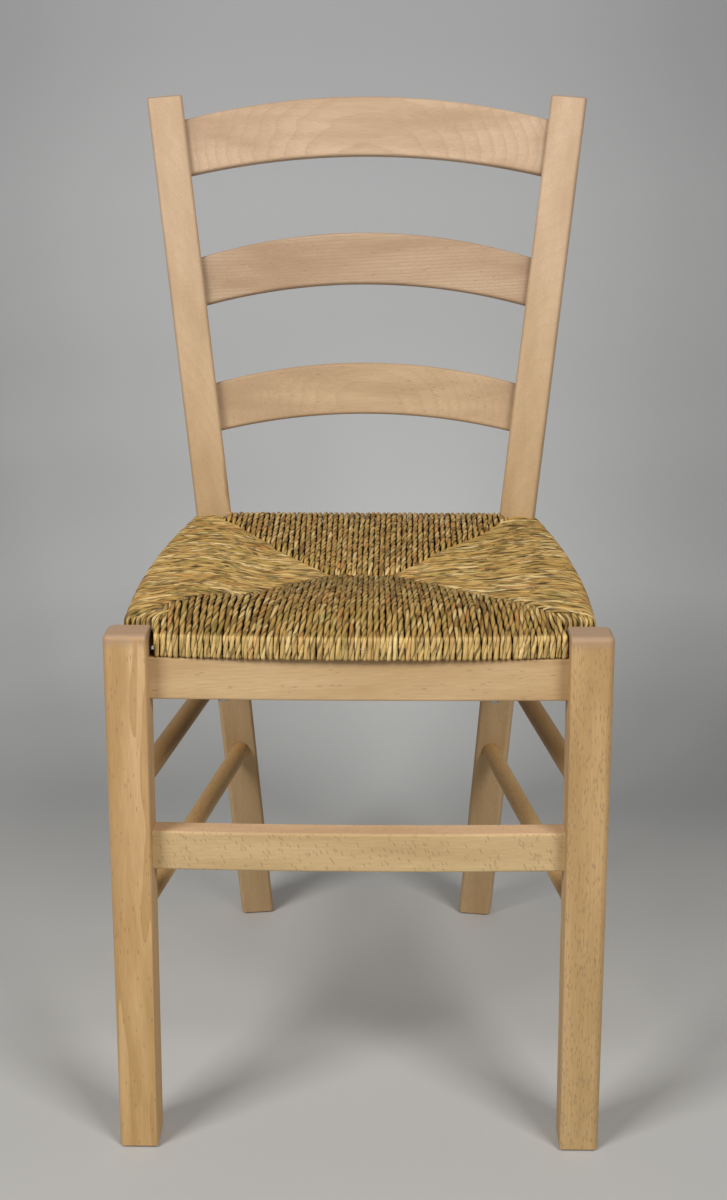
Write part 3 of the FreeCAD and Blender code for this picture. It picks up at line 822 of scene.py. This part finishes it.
@dataclass
class WovenSeat:
    """The straw seat: strands wound over four rails that meet on diagonal seams.

    Plan places are metres right of the chair's middle and back from the front legs' faces.
    """

    cord_width: float = 5.5 * MM
    front_roll: RollShape = RollShape(15.5 * MM, 4.5 * MM, 58 * MM, 11.6 * MM,
                                      face_foot=3.6 * MM, sag=1.0 * MM)
    side_roll: RollShape = RollShape(17.5 * MM, 11.0 * MM, 36 * MM, 2.6 * MM)
    rear_roll: RollShape = RollShape(23.5 * MM, 7.5 * MM, 28 * MM, 1.2 * MM)
    corner_roll: RollShape = RollShape(22.0 * MM, 4.5 * MM, 18 * MM, 2.5 * MM, dish=0.0)
    front_setback: float = 4.2 * MM
    front_bow: float = 12.0 * MM
    front_half: float = 165.5 * MM
    front_middle: float = 2.0 * MM
    front_cords: int = 66
    front_over: float = 30 * MM
    front_slopes: Table = ((-0.163, -0.09), (-0.150, -0.07), (-0.130, -0.04), (-0.107, 0.0),
                           (-0.081, 0.05), (-0.040, 0.03), (0.0, 0.0), (0.060, -0.04),
                           (0.129, -0.06), (0.151, -0.13), (0.163, -0.18))
    rear_edge: float = 402.0 * MM
    rear_swell: float = 0.12
    swell_start: float = 0.05
    swell_run: float = 0.34
    rear_half: float = 144.2 * MM
    rear_cords: int = 54
    post_inside: float = 137.0 * MM
    post_front: float = 381.5 * MM
    rear_slopes: Table = ((-0.133, 0.02), (-0.060, 0.03), (0.0, 0.0), (0.060, -0.02),
                          (0.133, -0.02))
    side_front: Plan = (193.0 * MM, 45.0 * MM)
    side_rear: Plan = (176.0 * MM, 385.0 * MM)
    side_bow: float = 9.0 * MM
    side_pitch: float = 4.9 * MM
    side_squeeze: float = 0.30
    side_samples: int = 60
    side_smoothing: int = 24
    side_depth: float = 166 * MM
    side_thinning: float = 0.18
    front_share: float = 0.42
    corner_back: float = 37.5 * MM
    corner_span: Plan = (163.5 * MM, 188.5 * MM)
    corner_cords: int = 7
    corner_run: Plan = (11 * MM, 20 * MM)
    corner_width: float = 0.46
    corner_depth: float = 0.1
    twist_pitch: float = 42.0 * MM
    apexes = {Side.LEFT: (-0.029, 0.168), Side.RIGHT: (0.029, 0.167)}
    seams = {
        (Side.FRONT, Side.LEFT): (
            (-0.200, 0.050), (-0.164, 0.053), (-0.157, 0.066), (-0.137, 0.094), (-0.092, 0.098),
            (-0.071, 0.122), (-0.029, 0.168)),
        (Side.FRONT, Side.RIGHT): (
            (0.029, 0.167), (0.066, 0.134), (0.100, 0.100), (0.140, 0.067), (0.158, 0.050),
            (0.164, 0.046), (0.200, 0.044)),
        (Side.REAR, Side.LEFT): (
            (-0.180, 0.400), (-0.147, 0.384), (-0.140, 0.372), (-0.096, 0.290), (-0.066, 0.234),
            (-0.029, 0.176)),
        (Side.REAR, Side.RIGHT): (
            (0.029, 0.174), (0.052, 0.214), (0.067, 0.247), (0.111, 0.309), (0.141, 0.372),
            (0.147, 0.384), (0.180, 0.400))}
    seam_slack: float = 0.8 * MM
    shortest_run: float = 12 * MM
    seed: int = 7

    def __post_init__(self) -> None:
        """Takes the seat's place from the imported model."""
        self.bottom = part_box("woven_seat")[0].z
        self.front_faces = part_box("front_leg_left")[0].y
        self.rng = random.Random(self.seed)

    def seam_at(self, rail: Side, side: Side, x: float) -> float:
        """How far back the seam of a rail and a side lies at x."""
        return between(self.seams[rail, side], x)

    def wound(self, path: PlanPath, half_width: float, roll: RollShape, depth: float,
              step: float, wander: float, over: bool) -> Strand:
        """One strand that comes up over a rail and runs in to a seam, above and below.

        Args:
            path: The strand's way seen from above.
            half_width: Half the strand's width.
            roll: How the weave rounds this rail.
            depth: Inset of the middle of the seat.
            step: Distance between points on the upper face.
            wander: How far the strand strays sideways.
            over: Whether its end lies over the other strands at the seam.

        Returns:
            The strand, from its end below to its end above.
        """
        aside = Drift(self.rng, wander, (0.031, 0.074, 0.170))
        swell = Drift(self.rng, 0.05, (0.023, 0.061))
        lift = Drift(self.rng, 0.3 * MM, (0.040, 0.110))
        strand = Strand()
        length, radius, foot = path.length, half_width, roll.face_foot

        def put(inset: float, height: float, width: float = 1.0) -> None:
            """Adds a point at an inset and a height over the underside."""
            ahead = path.heading(inset)
            side = Vector((-ahead.y, ahead.x))
            place = path.at(inset) + side * aside.at(inset)
            height *= 1 + self.rear_swell * held((place.y - self.swell_start) / self.swell_run)
            spot = (place.x, place.y + self.front_faces, self.bottom + height)
            strand.points.append(Vector(spot))
            strand.widths.append(half_width * width * (1 + swell.at(inset)))
            strand.sides.append(side.to_3d())
        # The drawn-in end below, then out along the underside.
        put(length, radius + 3 * MM, 0.0)
        put(length - 1 * MM, radius + 2 * MM, 0.7)
        runs = max(2, round((length - foot) / (4 * step)))
        for index in range(runs):
            put(length - 2 * MM - (length - 6 * MM - foot) * index / runs, radius)
        put(foot + 3.5 * MM, radius)
        # Round the lower edge and up the face.
        for index in range(4):
            angle = QUARTER * index / 3
            put(foot - (foot - radius) * math.sin(angle),
                foot - roll.sag - (foot - radius) * math.cos(angle))
        for index in (1, 2):
            put(radius, foot + (roll.face_top - foot) * index / 3)
        # Round the bend.
        inner = max(roll.bend - radius, 1.2 * MM)
        turn = QUARTER - math.atan(roll.slope)
        for index in range(6):
            angle = turn * index / 5
            put(radius + inner * (1 - math.cos(angle)), roll.face_top + inner * math.sin(angle))
        # In over the crown to the seam, and under the strands beyond it.
        begin = radius + inner * (1 - math.cos(turn))
        runs = max(2, round((length - begin) / step))
        drop = (0.8 if over else 2.6) * MM
        beyond = (0.5 if over else 2.5) * MM
        for index in range(1, runs + 1):
            inset = begin + (length - begin) * index / runs
            dive = held(1 - (length - inset) / (7 * MM)) ** 2 * drop
            settle = eased((inset - begin) / (6 * MM))
            rest = roll.face_top + inner * math.sin(turn) + (inset - begin) * roll.slope
            top = roll.height(inset, depth) - radius + lift.at(inset)
            put(inset, rest + (top - rest) * settle - dive)
        end_height = roll.height(length, depth) - radius - drop
        put(length + beyond, end_height - 1.2 * MM, 0.85)
        put(length + beyond + 1.2 * MM, end_height - 2.6 * MM, 0.5)
        put(length + beyond + 1.6 * MM, end_height - 3.6 * MM, 0.0)
        return strand

    def twist(self, strand: Strand, pitch: float, sign: int) -> None:
        """Lays a steady twist into a strand.

        Args:
            strand: The strand to twist.
            pitch: Length of one full turn.
            sign: Which way it turns.
        """
        phase = self.rng.uniform(0, TURN)
        uneven = Drift(self.rng, 0.4, (0.050, 0.130))
        strand.twists = [phase + sign * (TURN * along / pitch + uneven.at(along))
                         for along in strand.distances()]

    def reach_seam(self, start: Vector, slope: float, rail: Side) -> PlanPath:
        """A straight way from the front or rear edge to a seam.

        Args:
            start: Where it leaves the edge.
            slope: How far it drifts to the right for each metre it runs in.
            rail: The rail that it comes over, FRONT or REAR.

        Returns:
            The way.
        """
        side = Side.LEFT if start.x < 0 else Side.RIGHT
        end = start.copy()
        for _ in range(12):
            target = self.seam_at(rail, side, end.x) + self.rng.uniform(-1, 1) * self.seam_slack
            run = max(rail.sign * (start.y - target), self.shortest_run)
            end.y += (start.y - run * rail.sign - end.y) * 0.7
            end.x = start.x + slope * abs(end.y - start.y)
        return PlanPath([start, end])

    def cross_cords(self, rail: Side) -> list[Strand]:
        """The twisted cords over the front or the rear rail.

        Args:
            rail: FRONT or REAR.

        Returns:
            The cords from left to right.
        """
        front = rail is Side.FRONT
        count = self.front_cords if front else self.rear_cords
        half = self.front_half if front else self.rear_half
        middle = self.apexes[Side.LEFT][1]
        depth = middle - self.front_setback if front else self.rear_edge - middle
        cords = []
        for index in range(count):
            x = half * (2 * (index + 0.5) / count - 1)
            if front:
                x += self.front_middle
                y = self.front_setback + self.front_bow * (x / self.side_front[0]) ** 2
            else:
                y = self.rear_edge if abs(x) < self.post_inside else self.post_front
            slope = between(self.front_slopes if front else self.rear_slopes, x)
            path = self.reach_seam(Vector((x, y)), slope, rail)
            width = self.cord_width / 2 * self.rng.uniform(0.93, 1.06)
            roll = self.front_roll if front else self.rear_roll
            cord = self.wound(path, width, roll, depth, 2.8 * MM, 0.2 * MM,
                              front and x < self.front_over)
            self.twist(cord, self.twist_pitch * self.rng.uniform(0.85, 1.5), 1)
            cords.append(cord)
        return cords

    def corner_tier(self, side: Side) -> list[Strand]:
        """The short cords just behind a front leg, under the side's strands.

        Args:
            side: LEFT or RIGHT.

        Returns:
            The cords from the inside outwards.
        """
        inner, outer = self.corner_span
        inwards, back = self.corner_run
        width = self.cord_width * self.corner_width
        cords = []
        for index in range(self.corner_cords):
            x = side.sign * (inner + (outer - inner) * index / (self.corner_cords - 1))
            start = Vector((x, self.corner_back))
            way = PlanPath([start, start + Vector((-side.sign * inwards, back))])
            cord = self.wound(way, width, self.corner_roll, self.corner_depth, 2.5 * MM,
                              0.1 * MM, False)
            self.twist(cord, self.twist_pitch * 1.3, 1)
            cords.append(cord)
        return cords

    def side_station(self, share: float, side: Side) -> list[Vector]:
        """Where the side's weave starts and ends across, at a share of the way in.

        Args:
            share: 0 at the outer edge, 1 at the inner point.
            side: LEFT or RIGHT.

        Returns:
            The points on the front seam and on the rear seam.
        """
        found = []
        for rail, corner in ((Side.FRONT, self.side_front), (Side.REAR, self.side_rear)):
            x = side.sign * corner[0] * (1 - share) + self.apexes[side][0] * share
            found.append(Vector((x, self.seam_at(rail, side, x))))
        return found

    def side_way(self, number: int, count: int, side: Side) -> PlanPath | None:
        """The way of one of the side's strands, from the outer edge to the seam it meets.

        Args:
            number: Which strand from the front.
            count: How many there are.
            side: LEFT or RIGHT.

        Returns:
            The way, or None when it would be too short.
        """
        front, rear = self.side_station(0.0, side)
        scale = count / ((rear - front).length / self.side_pitch)
        points = []
        for index in range(self.side_samples + 1):
            share = index / self.side_samples
            front, rear = self.side_station(share, side)
            pitch = self.side_pitch * (1 - self.side_squeeze * share)
            alive = (rear - front).length / pitch * scale
            place = (number + 0.5 - self.front_share * (count - alive)) / (alive + 1e-6)
            if index and not 0 <= place <= 1:
                break
            point = front.lerp(rear, held(place))
            bulge = self.side_bow * (1 - (2 * held(place) - 1) ** 2) * (1 - share) ** 3
            points.append(point + Vector((side.sign * bulge, 0)))
        for _ in range(self.side_smoothing):
            points[1:-1] = [before * 0.25 + here * 0.5 + after * 0.25
                            for before, here, after in zip(points, points[1:], points[2:])]
        return PlanPath(points) if len(points) > 4 else None

    def side_strands(self, side: Side) -> list[Strand]:
        """The strands over the left or the right rail.

        Args:
            side: LEFT or RIGHT.

        Returns:
            The strands from the front to the rear, then the front corner's cords.
        """
        count = round((self.side_rear[1] - self.side_front[1]) / self.side_pitch)
        strands = []
        for number in range(count):
            way = self.side_way(number, count, side)
            if way is None:
                continue
            width = self.cord_width / 2 * self.rng.uniform(0.86, 1.12)
            strand = self.wound(way, width, self.side_roll, self.side_depth, 3.4 * MM, 0.5 * MM,
                                side is Side.RIGHT)
            marks = strand.distances()
            for index, along in enumerate(marks):
                near = held((along - marks[-1] + way.length) / way.length)
                strand.widths[index] *= 1 - self.side_thinning * near
            pitch = self.twist_pitch * self.rng.uniform(2.0, 3.4)
            self.twist(strand, pitch, self.rng.choice((-1, 1)))
            strands.append(strand)
        return strands + self.corner_tier(side)

    def build(self) -> list[Object]:
        """Winds the whole seat.

        Returns:
            The seat's pieces.
        """
        cord = StrandSection(sides=15, lobes=3, crease=0.26)
        leaf = StrawFinish("straw_leaf", straw_length=48 * MM, pale=0.25, rim_shade=0.78, gain=1.01,
                           dashes=0.52, ridge_shade=0.0, face_light=0.0).material()
        finishes = {Side.FRONT: StrawFinish("straw").material(),
                    Side.REAR: StrawFinish("straw_rear", gain=1.12).material(),
                    Side.LEFT: leaf, Side.RIGHT: leaf}
        pieces = []
        for side, finish in finishes.items():
            crossing = side in (Side.FRONT, Side.REAR)
            kind = "cords" if crossing else "strands"
            strands = self.cross_cords(side) if crossing else self.side_strands(side)
            pieces.append(StrandBundle(f"seat_{kind}_{side.value}", cord, strands).build(finish))
        for piece in pieces:
            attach(piece, BODY)
            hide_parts("woven_seat")
        return pieces


@dataclass
class ChairFrame:
    """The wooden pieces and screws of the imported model, each with its own finish."""

    lean: float = math.radians(5.0)
    rake: float = math.radians(5.0)
    dowel_yaw: float = math.radians(7.0)
    leg_top: float = 0.461
    grain_slant: float = 0.05

    def finishes(self) -> dict[str, Finish]:
        """The finish of each wooden piece that shows.

        Returns:
            The finishes by the name of the node.
        """
        level = (0.0, QUARTER, 0.0)
        slanting = (0.0, QUARTER + self.grain_slant, 0.0)
        # On the posts the lower part gets painted shade under the seat and a warmer tone.
        post = dict(light=(0.670, 0.492, 0.335), dark=(0.570, 0.398, 0.255), flecks=0.0,
                    low_shade_and_tone=(0.88, 0.84, 0.67), ring_share=0.35)
        # Over the legs' height the low tint is painted shade towards the floor.
        leg = dict(low_shade_span=(0.05, 0.44), cap_height=self.leg_top)
        flat = dict(light=(0.640, 0.450, 0.245), dark=(0.535, 0.352, 0.176))
        settings = {
            "back_post_left": dict(
                post, turn=(-self.rake, self.lean, 0.0), pitch=4.5 * MM, pith=(0.16, -0.09, 0.0)),
            "back_post_right": dict(
                post, turn=(-self.rake, -self.lean, 0.0), pitch=4.0 * MM, pith=(-0.12, -0.11, 0.3)),
            "front_leg_left": dict(
                leg, light=(0.700, 0.468, 0.245), dark=(0.520, 0.320, 0.140),
                low_shade_and_tone=(0.97, 0.95, 0.84), pith=(0.165, 0.14, 0.0), pitch=3.6 * MM,
                ring_share=0.85, flecks=0.10),
            "front_leg_right": dict(
                leg, light=(0.625, 0.413, 0.198), dark=(0.480, 0.302, 0.130),
                low_shade_and_tone=(1.0, 1.03, 1.03), pith=(-0.25, 0.30, 0.5), flecks=0.75),
            # The apron's upward faces are painted dark: painted shade under the straw.
            "front_apron": dict(
                flat, turn=slanting, pith=(-0.36, 0.28, 0.0), ring_share=0.35, flecks=0.06,
                upward_light_and_shade=(0.30, 0.26, 0.20)),
            "rear_apron": dict(flat, turn=level, pith=(-0.40, 0.03, 0.4)),
            # The stretcher's upward faces are painted lighter: painted light on its top.
            "front_stretcher": dict(
                light=(0.655, 0.483, 0.255), dark=(0.550, 0.385, 0.188),
                upward_light_and_shade=(1.10, 1.03, 1.18), turn=level, fleck_turn=(0.0, 0.45, 0.0),
                pith=(-0.20, 0.30, 0.7), ring_share=0.3, flecks=0.42),
            "rear_stretcher": dict(flat, turn=level, pith=(-0.2, 0.02, 0.1)),
            # Each slat's last number starts the painted shadow of the posts near its ends.
            "back_slat_top": dict(
                light=(0.655, 0.475, 0.322), dark=(0.500, 0.340, 0.215), turn=level,
                pith=(-0.769, -0.530, 0.0), pitch=2.0 * MM, ring_share=0.55, flecks=0.0,
                post_shadow_from=0.160),
            "back_slat_middle": dict(
                light=(0.570, 0.412, 0.278), dark=(0.430, 0.285, 0.178), turn=slanting,
                pith=(-0.960, -0.215, 0.37), pitch=3.4 * MM, ring_share=0.80, flecks=0.04,
                post_shadow_from=0.146),
            "back_slat_lower": dict(
                light=(0.620, 0.444, 0.272), dark=(0.490, 0.332, 0.198), turn=level,
                pith=(-0.520, -0.460, 0.74), pitch=1.7 * MM, flecks=0.04, post_shadow_from=0.132)}
        # The upper side stretchers get darker colours than the lower ones: painted shade, where the
        # seat shades them.
        rods = {"upper": dict(light=(0.430, 0.268, 0.110), dark=(0.330, 0.190, 0.070)),
                "lower": dict(light=(0.650, 0.425, 0.185), dark=(0.540, 0.330, 0.130))}
        for place, colours in rods.items():
            for side, sign in (("left", -1), ("right", 1)):
                settings[f"side_stretcher_{place}_{side}"] = dict(
                    colours, turn=(QUARTER, 0.0, sign * self.dowel_yaw),
                    pith=(0.02, 0.05, 0.1 * sign))
        return {node: BeechFinish("beech_" + node, **looks) for node, looks in settings.items()}

    def dress(self) -> list[str]:
        """Gives every wooden piece and the screws their finish.

        Returns:
            The names of the pieces dressed.
        """
        materials = {name: finish.material() for name, finish in self.finishes().items()}
        # The seat rails inside the weave are coloured very dark: painted shade, where the weave
        # covers them.
        shaded_frame = BeechFinish("beech_seat_frame", turn=(0.0, QUARTER, 0.0),
                             light=(0.150, 0.090, 0.045), dark=(0.110, 0.065, 0.030)).material()
        for side in Side:
            materials[f"seat_rail_{side.value}"] = shaded_frame
        materials["seat_stuffing"] = FillingFinish().material()
        materials["seat_screws"] = SteelFinish().material()
        for name, material in materials.items():
            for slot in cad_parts[name].material_slots:
                slot.material = material
        return sorted(materials)


@dataclass(frozen=True)
class PaperFinish(Finish):
    """Grey paper with painted light and shade over the floor and up the wall, and clear when seen
    from behind.
    """

    name: str = "backdrop_paper"
    middle = -0.04
    # Painted falloff of the light: the wall dims towards the sides and a little more on the right.
    falloff_aside = (0.0, 0.36, 1.0, 0.81)
    falloff_right = (0.15, 0.50, 1.0, 0.95)
    sweep_span = (0.0, 0.25)
    # Painted shadow of the chair low on the sweep on both sides, stronger on the right.
    shadow_back = (0.30, 0.68)
    shadow_height = (0.04, 0.19, 1.0, 0.0)
    shadow_left = (-0.42, -0.08, 0.11, 0.0)
    shadow_right = (0.08, 0.55, 0.0, 0.32)
    mottle_scale = 1.5
    mottle_span = (0.3, 0.7, 0.985, 1.015)
    # The floor and wall ramps hold painted light and shade: lighter and darker bands where the
    # lamps' light falls off.
    floor_start = 1.0
    floor_reach = 2.2
    floor_tones = ((0.0, (0.525, 0.532, 0.533)), (0.34, (0.532, 0.541, 0.543)),
                   (0.46, (0.598, 0.606, 0.606)), (0.57, (0.620, 0.627, 0.627)),
                   (0.68, (0.575, 0.590, 0.595)), (0.76, (0.560, 0.577, 0.585)),
                   (1.0, (0.600, 0.615, 0.628)))
    wall_reach = 1.6
    wall_tones = ((0.0, (0.575, 0.592, 0.602)), (0.05, (0.612, 0.632, 0.650)),
                  (0.112, (0.646, 0.668, 0.690)), (0.21, (0.590, 0.610, 0.632)),
                  (0.35, (0.552, 0.571, 0.592)), (0.47, (0.538, 0.558, 0.580)),
                  (0.61, (0.468, 0.486, 0.508)), (1.0, (0.405, 0.420, 0.440)))

    def recipe(self, bench: NodeBench) -> Recipe:
        """What the shader's inputs are fed with.

        Args:
            bench: The material's bench.

        Returns:
            The inputs' sockets and numbers.
        """
        place = bench.place()
        right, back, height = bench.parts(place)
        floor = bench.ramp(bench.calc("DIVIDE", bench.plus(back, self.floor_start),
                                      self.floor_reach), self.floor_tones)
        wall = bench.ramp(bench.calc("DIVIDE", height, self.wall_reach), self.wall_tones)
        aside = bench.calc("POWER", bench.plus(right, -self.middle), 2.0)
        # Painted falloff of the light towards the sides.
        falloff = bench.times(bench.ranged(aside, *self.falloff_aside),
                           bench.ranged(right, *self.falloff_right))
        sweep = bench.ranged(height, *self.sweep_span)
        base = bench.blend(sweep, floor, bench.tinted(wall, falloff))
        # Painted shadow of the chair low on the sweep, at both sides.
        foot = bench.times(bench.ranged(back, *self.shadow_back),
                           bench.ranged(height, *self.shadow_height))
        sides = bench.plus(bench.ranged(right, *self.shadow_left),
                           bench.ranged(right, *self.shadow_right))
        base = bench.tinted(base, bench.calc("SUBTRACT", 1.0, bench.times(foot, sides)))
        mottle = bench.ranged(bench.noise(place, scale=self.mottle_scale), *self.mottle_span)
        return {"Base Color": bench.tinted(base, mottle), "Roughness": 0.8,
                "Specular IOR Level": 0.15}

    def material(self) -> Material:
        """Makes the finish, with a way for the camera to see through the paper's back.

        Returns:
            The new material.
        """
        material = super().material()
        bench, nodes = NodeBench(material.node_tree), material.node_tree.nodes
        behind = bench.times(bench.add("NewGeometry").outputs["Backfacing"],
                             bench.add("LightPath").outputs["Is Camera Ray"])
        shown = bench.add("MixShader", {0: behind, 1: nodes["Principled BSDF"].outputs[0],
                                        2: bench.add("BsdfTransparent").outputs[0]})
        bench.feed(nodes["Material Output"], {"Surface": shown.outputs[0]})
        return material


@dataclass
class Studio:
    """Backdrop and lamps round the chair."""

    front_edge: float = -4.0
    sweep_start: float = 0.55
    sweep_radius: float = 0.55
    wall_height: float = 4.0
    half_width: float = 4.5
    sweep_runs: int = 192
    under_feet: float = 0.2 * MM
    lamps = (("left", -40.0, 1.0), ("right", 33.0, 0.85))
    lamp_size: float = 0.9
    lamp_reach: float = 2.2
    lamp_height: float = 2.05
    lamp_aim: float = 0.65
    lamp_power: float = 44.5
    lamp_colour: Triple = (1.0, 0.965, 0.92)
    fill_colour: Triple = (1.0, 0.985, 0.965)
    fill_strength: float = 0.09

    def sweep_point(self, distance: float) -> Plan:
        """Depth and height of the backdrop at a distance along it from its front edge.

        Args:
            distance: How far along the backdrop.

        Returns:
            The depth and the height.
        """
        flat = self.sweep_start - self.front_edge
        arc = QUARTER * self.sweep_radius
        if distance <= flat:
            return self.front_edge + distance, 0.0
        if distance <= flat + arc:
            angle = (distance - flat) / self.sweep_radius
            return (self.sweep_start + self.sweep_radius * math.sin(angle),
                    self.sweep_radius * (1 - math.cos(angle)))
        return self.sweep_start + self.sweep_radius, self.sweep_radius + distance - flat - arc

    def build_backdrop(self) -> Object:
        """Hangs the backdrop: a paper sheet that sweeps from the floor up the wall.

        Returns:
            The backdrop.
        """
        total = (self.sweep_start - self.front_edge + QUARTER * self.sweep_radius
                 + self.wall_height - self.sweep_radius)
        work = bmesh.new()
        bmesh.ops.create_grid(work, x_segments=1, y_segments=self.sweep_runs, size=1.0)
        for vert in work.verts:
            depth, height = self.sweep_point((vert.co.y + 1) / 2 * total)
            vert.co = (vert.co.x * self.half_width, depth, height - self.under_feet)
        mesh = bpy.data.meshes.new("backdrop")
        settle(work, mesh)
        mesh.materials.append(PaperFinish().material())
        sheet = linked("backdrop", mesh)
        return sheet

    def build_world(self) -> None:
        """Sets the soft fill light."""
        world = bpy.data.worlds.new("studio")
        world.use_nodes = True
        NodeBench(world.node_tree).feed(world.node_tree.nodes["Background"], {
            "Color": self.fill_colour, "Strength": self.fill_strength})
        bpy.context.scene.world = world

    def build_lamps(self) -> list[Object]:
        """Hangs a soft lamp on each side in front of the chair.

        Returns:
            The lamps.
        """
        hung = []
        for name, degrees, share in self.lamps:
            lamp = bpy.data.lights.new("softbox_" + name, "AREA")
            lamp.shape = "SQUARE"
            lamp.size = self.lamp_size
            lamp.energy = self.lamp_power * share
            lamp.color = self.lamp_colour
            holder = linked("softbox_" + name, lamp)
            angle = math.radians(degrees)
            place = Vector((self.lamp_reach * math.sin(angle), -self.lamp_reach * math.cos(angle),
                            self.lamp_height))
            aim = (Vector((0.0, 0.0, self.lamp_aim)) - place).to_track_quat("-Z", "Y")
            holder.matrix_world = Matrix.Translation(place) @ aim.to_matrix().to_4x4()
            hung.append(holder)
        return hung


@dataclass(frozen=True)
class StudioCamera:
    """The camera, placed where the photograph was taken from."""

    right: float = 0.02405
    ahead: float = 1.26754
    height: float = 0.84311
    down: float = math.radians(15.515)
    yaw: float = math.radians(0.892)
    lens: float = 50.408
    sensor: float = 36.0
    clip_start: float = 0.01

    def build(self) -> Object:
        """Sets the camera up.

        Returns:
            The camera.
        """
        camera = bpy.data.cameras.new("studio_camera")
        camera.sensor_fit = "VERTICAL"
        camera.sensor_height = self.sensor
        camera.lens = self.lens
        camera.clip_start = self.clip_start
        holder = linked("studio_camera", camera)
        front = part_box("front_leg_left")[0].y
        place = Vector((self.right, front - self.ahead, self.height))
        turn = Euler((QUARTER - self.down, 0.0, self.yaw)).to_matrix().to_4x4()
        holder.matrix_world = Matrix.Translation(place) @ turn
        bpy.context.scene.camera = holder
        return holder


def main() -> None:
    """Builds the studio and the chair, and reports each piece."""
    logging.basicConfig(level=logging.INFO, format="%(message)s")
    scene = bpy.context.scene
    scene.view_settings.view_transform = "Standard"
    StudioCamera().build()
    studio = Studio()
    studio.build_backdrop()
    studio.build_world()
    for lamp in studio.build_lamps():
        log.info("lamp %s", lamp.name)
    for name in ChairFrame().dress():
        log.info("dressed %s", name)
    for piece in WovenSeat().build():
        log.info("built %s: %d faces", piece.name, len(piece.data.polygons))


if __name__ == "__main__":
    main()
